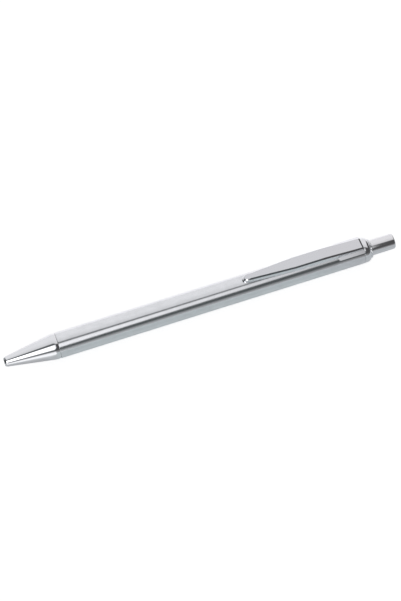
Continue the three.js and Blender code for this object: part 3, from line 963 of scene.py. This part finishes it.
# %% Writing point
point_low, point_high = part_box("writing_point")
point_mouth = station(point_low.x)
point_rear = station(point_high.x)
point_radius = (point_high.z - point_low.z) / 2 / MM
ball_low, ball_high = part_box("writing_ball")
ball_centre = station((ball_low.x + ball_high.x) / 2)
ball_radius = (ball_high.x - ball_low.x) / 2 / MM
lip_radius = 0.58
taper_length = 3.2
taper_end = ball_centre - ball_radius + taper_length
waist_radius = 0.93
waist = taper_end - 1.1
shank_radius = 0.8
shank_length = 4
shank_start = point_rear - shank_length
ink_way = 0.25
ball_play = 0.04
cup_radius = ball_radius + ball_play
cup_start = np.arcsin(ink_way / cup_radius)
cup_end = np.arccos((point_mouth - ball_centre) / cup_radius)
cup_turn = np.linspace(cup_start, cup_end, 13)[:, None]
cup = np.hstack([ball_centre + cup_radius * np.cos(cup_turn), cup_radius * np.sin(cup_turn)])
point_outside = [
    (point_mouth, lip_radius),
    (waist, waist_radius),
    (taper_end, point_radius),
    (shank_start, point_radius),
    (shank_start, shank_radius),
    (point_rear, shank_radius),
    (point_rear, ink_way),
]
point_corners = np.concatenate([point_outside, cup])
point_edges = [fine_edge, 0.2, 0.2, fine_edge, 0.02, fine_edge, 0.02, *([0] * len(cup))]
point = piece(
    "point",
    [(turned(softened(point_corners, point_edges)), True, True)],
    nickel_brass,
    "refill",
)
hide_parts("writing_point")

# %% [markdown]
# The ball is a full sphere in that cup: half a circle from pole to pole, turned like everything else. Its
# two ends are set exactly on the axis, because the sine of a half turn isn't quite nothing.

# %% Writing ball
pole_to_pole = np.linspace(0, np.pi, 25)
ball_profile = np.stack(
    [ball_centre - ball_radius * np.cos(pole_to_pole), ball_radius * np.sin(pole_to_pole)], -1
)
ball_profile[[0, -1], 1] = 0
ball = piece("ball", [(turned(ball_profile), False, True)], carbide, "refill")
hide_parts("writing_ball")

# %% [markdown]
# The return spring sits round the refill, from a shoulder inside the nose to two ears on the refill's tube.
# It is one round wire along a helix: (start + pitch s, radius cos s, radius sin s). At each step of the
# helix the wire's circle is laid out in the two directions square to the wire: outwards, and across the
# coil. Its cut ends are closed by shrinking the last circle to a point. When the button goes down, the ears
# come nearer and the coil would shorten by the stroke. The share of its length that it would keep is worked
# out, but the coil is built at full length.

# %% Return spring
spring_low, spring_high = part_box("refill_spring")
wire_radius = 0.18
coil_radius = (spring_high.z - spring_low.z) / 2 / MM - wire_radius
spring_front = station(spring_low.x)
spring_rear = station(spring_high.x)
curls = 13
steps_per_curl = 40
wire_sides = 14
stroke = 5.8

step = np.linspace(0, 1, curls * steps_per_curl + 1)
step = np.concatenate([[0], step, [1]])
swing = 2 * np.pi * curls * step
coil_length = spring_rear - spring_front - 2 * wire_radius
outwards = np.stack([0 * swing, np.cos(swing), np.sin(swing)], -1)
coil = coil_radius * outwards
coil[:, 0] = spring_front + wire_radius + coil_length * step
pitch = coil_length / (2 * np.pi * curls)
wire_way = np.stack([pitch + 0 * swing, -coil_radius * np.sin(swing), coil_radius * np.cos(swing)], -1)
wire_way /= np.linalg.norm(wire_way, axis=1, keepdims=True)
over_coil = np.cross(wire_way, outwards)
wire_turn = np.linspace(0, 2 * np.pi, wire_sides, endpoint=False)[None, :, None]
wire_size = np.full((len(step), 1, 1), wire_radius)
wire_size[[0, -1]] = 0
spring_points = coil[:, None] + wire_size * (
    np.cos(wire_turn) * outwards[:, None] + np.sin(wire_turn) * over_coil[:, None]
)
spring = piece("return_spring", [(spring_points, False, True)], drawn_wire, "barrel")
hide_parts("refill_spring")
spring_seat_point = in_frame(spring_front, 0, 0)
shortened = 1 - stroke / (spring_rear - spring_front)
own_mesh(spring)
print(f"the spring keeps {shortened:.2f} of its length")

# %% [markdown]
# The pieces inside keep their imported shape, which is exact already, and only change their material. A
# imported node's material slots are simply given the finished material.

# %% Finishes inside
inside = {
    "front_insert": turned_brass,
    "rear_insert": turned_brass,
    "keeper_ring": turned_brass,
    "refill_tube": turned_brass,
    "point_holder": turned_brass,
    "cam_sleeve": white_plastic,
    "plunger": white_plastic,
    "cam_rotor": dark_plastic,
    "refill_cap": dark_plastic,
    "ink_column": ink_paste,
}
for name, material in inside.items():
    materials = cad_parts[name].data.materials
    materials.clear()
    materials.append(material)
print("pieces inside with a finish:", len(inside))

# %% [markdown]
# Last, the view settings stay plain, so that a colour in the picture is the colour that was meant.

bpy.context.scene.view_settings.view_transform = "Standard"
